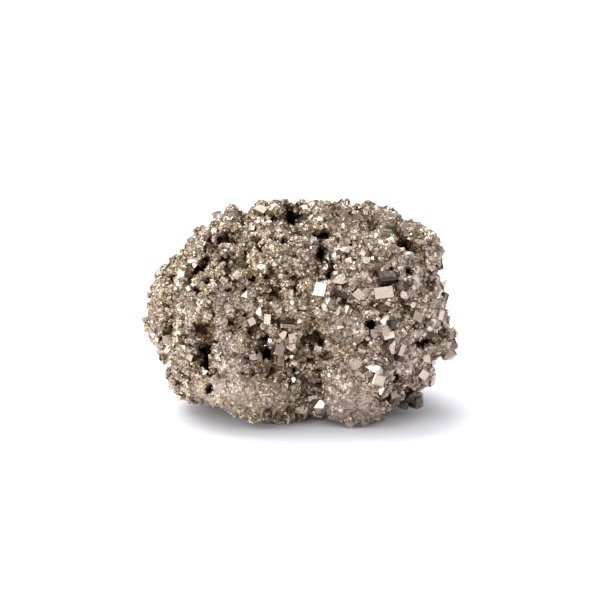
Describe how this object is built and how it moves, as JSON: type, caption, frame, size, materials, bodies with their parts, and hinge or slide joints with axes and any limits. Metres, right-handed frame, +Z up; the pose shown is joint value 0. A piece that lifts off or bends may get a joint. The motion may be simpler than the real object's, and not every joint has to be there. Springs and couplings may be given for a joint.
{
  "type": "pyrite specimen",
  "caption": "Lumpy intergrown cluster of brassy grey metallic crystals, fine druse on one side and larger cubes on the other, with pits and a flat resting face.",
  "frame": {"origin": "centre of the bounding box on the plane of the resting face", "axes": "+Z up, +X along the widest side with the coarse crystals, -Y out of the druse front"},
  "size_m": [0.0702, 0.048, 0.0473],
  "materials": {
    "pyrite": "faceted metallic druse, brassy grey with brown in the hollows"
  },
  "bodies": {
    "root": {"pyrite_cluster": "pyrite"}
  },
  "joints": []
}
